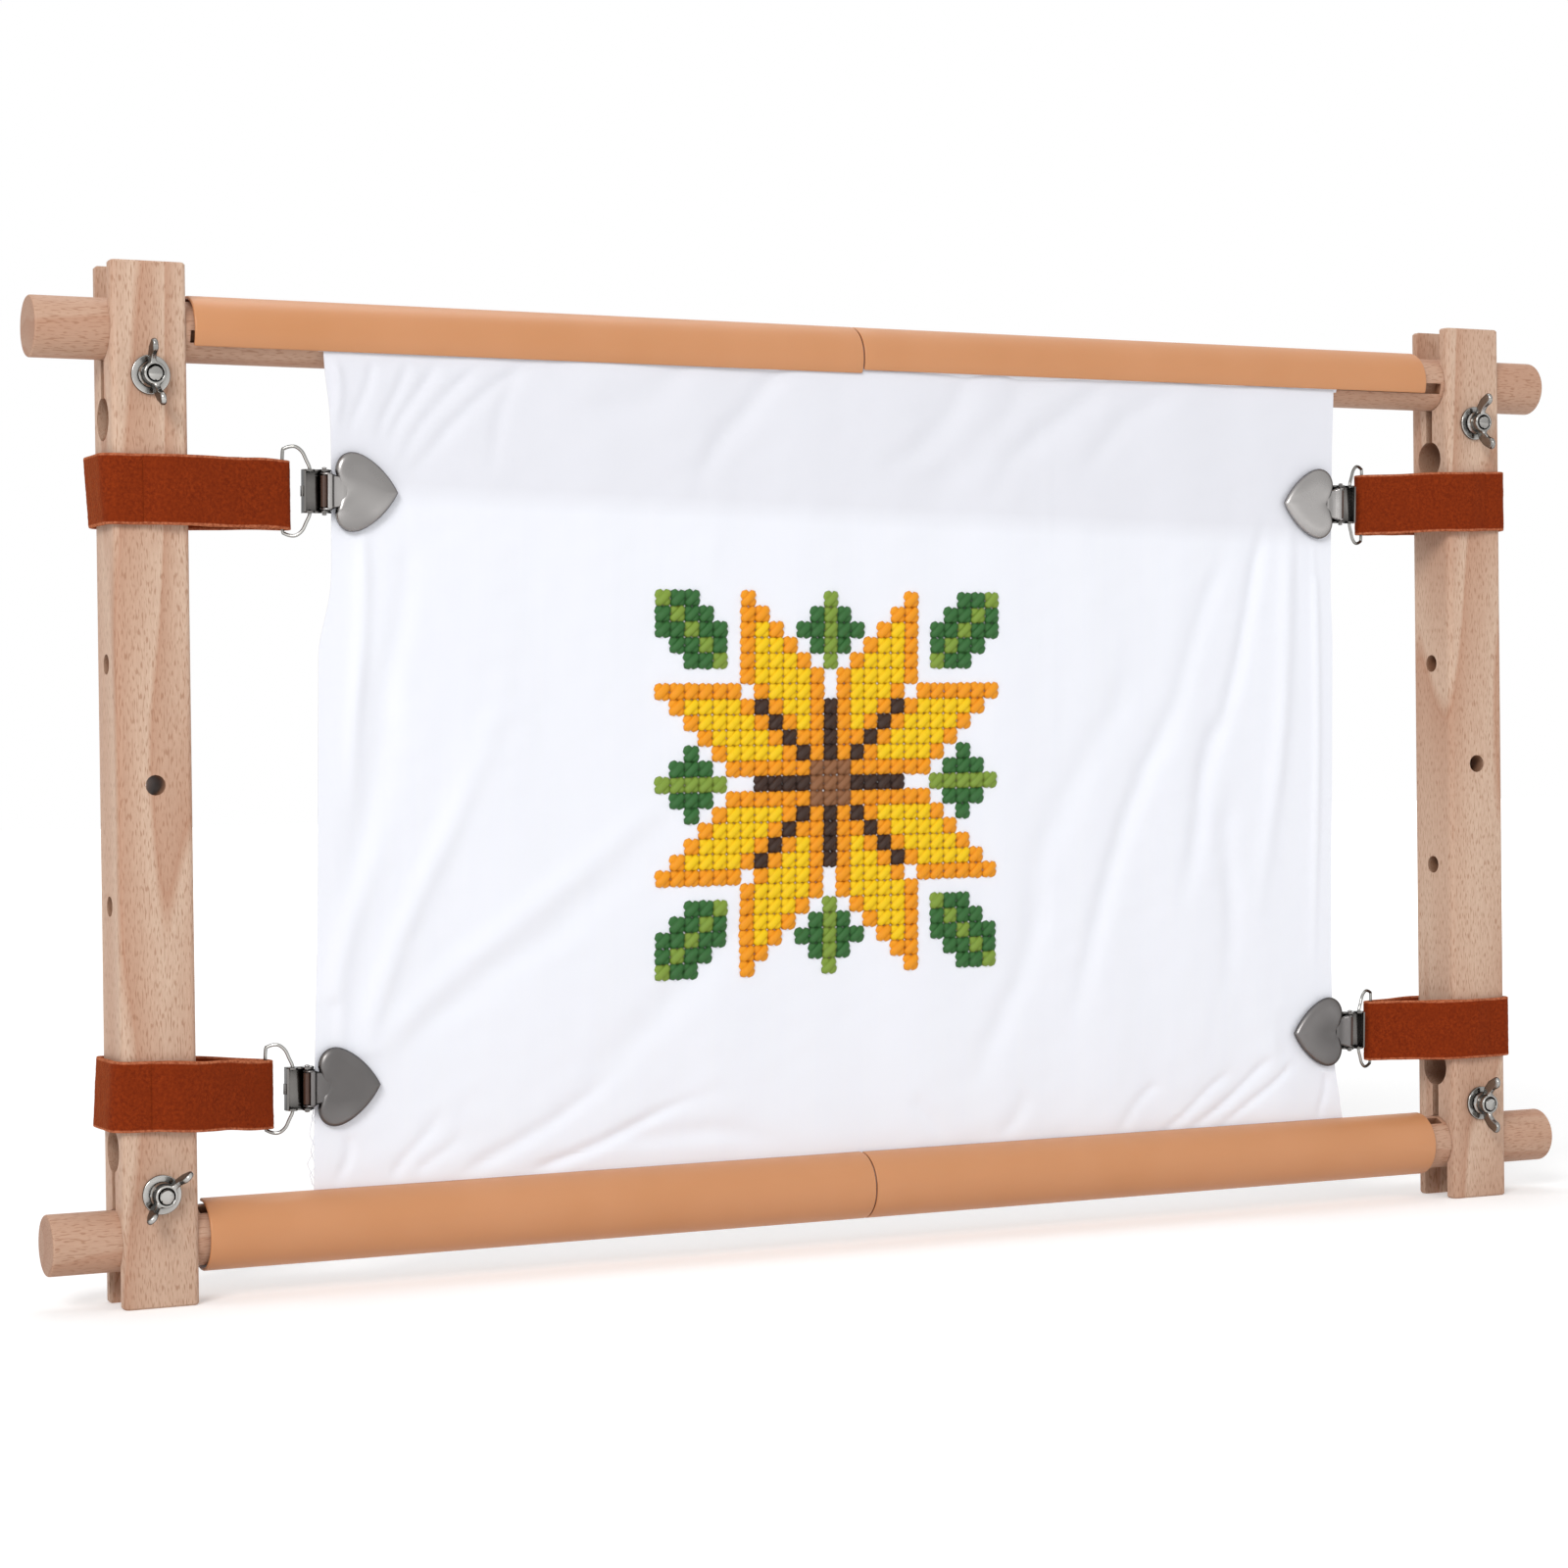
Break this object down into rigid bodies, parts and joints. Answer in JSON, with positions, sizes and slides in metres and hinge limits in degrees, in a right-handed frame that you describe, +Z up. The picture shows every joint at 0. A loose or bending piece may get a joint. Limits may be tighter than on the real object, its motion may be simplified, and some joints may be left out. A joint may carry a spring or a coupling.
{
  "type": "embroidery scroll frame",
  "caption": "Wooden scroll frame: two slotted rails clamp two rollers with split-tube covers, and straps with lever clips stretch the cloth between them.",
  "frame": {"origin": "on the surface the frame stands on, midway between its rails and midway in depth", "axes": "+X along the rollers to the right seen from the front, +Z up along the rails, the front faces -Y"},
  "size_m": [0.718, 0.0462, 0.405],
  "materials": {
    "beech": "sanded, unvarnished beech",
    "cover_plastic": "extruded peach-coloured plastic, satin",
    "cloth": "fine white cotton, plain",
    "strap_velvet": "brushed hook-and-loop strap, rust brown",
    "zinc_steel": "bright zinc-plated steel",
    "clip_steel": "pressed steel, satin nickel plate",
    "loop_steel": "drawn steel wire, nickel plate",
    "insert_plastic": "moulded dark plastic"
  },
  "bodies": {
    "left_frame": {"left_rail": "beech", "upper_left_bolt": "zinc_steel", "lower_left_bolt": "zinc_steel", "cloth_sheet": "cloth"},
    "right_frame": {"right_rail": "beech", "upper_right_bolt": "zinc_steel", "lower_right_bolt": "zinc_steel"},
    "top_roller_set": {"top_roller": "beech", "top_left_cover": "cover_plastic", "top_right_cover": "cover_plastic", "cloth_top_wrap": "cloth"},
    "bottom_roller_set": {"bottom_roller": "beech", "bottom_left_cover": "cover_plastic", "bottom_right_cover": "cover_plastic", "cloth_bottom_wrap": "cloth"},
    "upper_left_washer_set": {"upper_left_washer": "zinc_steel"},
    "upper_left_nut_set": {"upper_left_wing_nut": "zinc_steel"},
    "upper_left_strap_set": {"upper_left_strap": "strap_velvet", "upper_left_wire_loop": "loop_steel", "upper_left_clip_body": "clip_steel", "upper_left_clip_pin": "clip_steel"},
    "upper_left_lever_set": {"upper_left_heart_lever": "clip_steel", "upper_left_clip_insert": "insert_plastic"},
    "lower_left_washer_set": {"lower_left_washer": "zinc_steel"},
    "lower_left_nut_set": {"lower_left_wing_nut": "zinc_steel"},
    "lower_left_strap_set": {"lower_left_strap": "strap_velvet", "lower_left_wire_loop": "loop_steel", "lower_left_clip_body": "clip_steel", "lower_left_clip_pin": "clip_steel"},
    "lower_left_lever_set": {"lower_left_heart_lever": "clip_steel", "lower_left_clip_insert": "insert_plastic"},
    "upper_right_washer_set": {"upper_right_washer": "zinc_steel"},
    "upper_right_nut_set": {"upper_right_wing_nut": "zinc_steel"},
    "upper_right_strap_set": {"upper_right_strap": "strap_velvet", "upper_right_wire_loop": "loop_steel", "upper_right_clip_body": "clip_steel", "upper_right_clip_pin": "clip_steel"},
    "upper_right_lever_set": {"upper_right_heart_lever": "clip_steel", "upper_right_clip_insert": "insert_plastic"},
    "lower_right_washer_set": {"lower_right_washer": "zinc_steel"},
    "lower_right_nut_set": {"lower_right_wing_nut": "zinc_steel"},
    "lower_right_strap_set": {"lower_right_strap": "strap_velvet", "lower_right_wire_loop": "loop_steel", "lower_right_clip_body": "clip_steel", "lower_right_clip_pin": "clip_steel"},
    "lower_right_lever_set": {"lower_right_heart_lever": "clip_steel", "lower_right_clip_insert": "insert_plastic"}
  },
  "joints": [
    {"name": "right_rail_slide", "type": "slide", "parent": "left_frame", "child": "right_frame", "axis": [1, 0, 0], "range_m": [0, 0.018]},
    {"name": "top_roller_turn", "type": "hinge", "parent": "left_frame", "child": "top_roller_set", "pos_m": [0, 0.0055, 0.3795], "axis": [-1, 0, 0], "continuous": true},
    {"name": "bottom_roller_turn", "type": "hinge", "parent": "left_frame", "child": "bottom_roller_set", "pos_m": [0, 0.0055, 0.0255], "axis": [1, 0, 0], "continuous": true},
    {"name": "upper_left_nut_travel", "type": "slide", "parent": "left_frame", "child": "upper_left_washer_set", "axis": [0, -1, 0], "range_m": [0, 0.0021]},
    {"name": "upper_left_nut_turn", "type": "hinge", "parent": "upper_left_washer_set", "child": "upper_left_nut_set", "pos_m": [-0.315, -0.012, 0.3609], "axis": [0, -1, 0], "range_deg": [0, 720]},
    {"name": "upper_left_strap_slide", "type": "slide", "parent": "left_frame", "child": "upper_left_strap_set", "axis": [0, -0.0358, 0.9994], "range_m": [-0.022, 0.007]},
    {"name": "upper_left_lever_lift", "type": "hinge", "parent": "upper_left_strap_set", "child": "upper_left_lever_set", "pos_m": [-0.2444, -0.00585, 0.31762], "axis": [0, 0.0358, -0.9994], "range_deg": [0, 100]},
    {"name": "lower_left_nut_travel", "type": "slide", "parent": "left_frame", "child": "lower_left_washer_set", "axis": [0, -1, 0], "range_m": [0, 0.0021]},
    {"name": "lower_left_nut_turn", "type": "hinge", "parent": "lower_left_washer_set", "child": "lower_left_nut_set", "pos_m": [-0.315, -0.012, 0.0441], "axis": [0, -1, 0], "range_deg": [0, 720]},
    {"name": "lower_left_strap_slide", "type": "slide", "parent": "left_frame", "child": "lower_left_strap_set", "axis": [0, -0.0358, 0.9994], "range_m": [-0.007, 0.022]},
    {"name": "lower_left_lever_lift", "type": "hinge", "parent": "lower_left_strap_set", "child": "lower_left_lever_set", "pos_m": [-0.252, 0.00262, 0.08082], "axis": [0, 0.0358, -0.9994], "range_deg": [0, 100]},
    {"name": "upper_right_nut_travel", "type": "slide", "parent": "right_frame", "child": "upper_right_washer_set", "axis": [0, -1, 0], "range_m": [0, 0.0021]},
    {"name": "upper_right_nut_turn", "type": "hinge", "parent": "upper_right_washer_set", "child": "upper_right_nut_set", "pos_m": [0.315, -0.012, 0.3609], "axis": [0, -1, 0], "range_deg": [0, 720]},
    {"name": "upper_right_strap_slide", "type": "slide", "parent": "right_frame", "child": "upper_right_strap_set", "axis": [0, -0.0358, 0.9994], "range_m": [-0.022, 0.007]},
    {"name": "upper_right_lever_lift", "type": "hinge", "parent": "upper_right_strap_set", "child": "upper_right_lever_set", "pos_m": [0.2413, -0.00601, 0.32202], "axis": [0, -0.0358, 0.9994], "range_deg": [0, 100]},
    {"name": "lower_right_nut_travel", "type": "slide", "parent": "right_frame", "child": "lower_right_washer_set", "axis": [0, -1, 0], "range_m": [0, 0.0021]},
    {"name": "lower_right_nut_turn", "type": "hinge", "parent": "lower_right_washer_set", "child": "lower_right_nut_set", "pos_m": [0.315, -0.012, 0.0441], "axis": [0, -1, 0], "range_deg": [0, 720]},
    {"name": "lower_right_strap_slide", "type": "slide", "parent": "right_frame", "child": "lower_right_strap_set", "axis": [0, -0.0358, 0.9994], "range_m": [-0.007, 0.022]},
    {"name": "lower_right_lever_lift", "type": "hinge", "parent": "lower_right_strap_set", "child": "lower_right_lever_set", "pos_m": [0.2497, 0.00265, 0.08012], "axis": [0, -0.0358, 0.9994], "range_deg": [0, 100]}
  ],
  "couplings": [
    {"joint": "upper_left_nut_travel", "follows": "upper_left_nut_turn", "m_per_rad": 0.00015915},
    {"joint": "lower_left_nut_travel", "follows": "lower_left_nut_turn", "m_per_rad": 0.00015915},
    {"joint": "upper_right_nut_travel", "follows": "upper_right_nut_turn", "m_per_rad": 0.00015915},
    {"joint": "lower_right_nut_travel", "follows": "lower_right_nut_turn", "m_per_rad": 0.00015915}
  ]
}
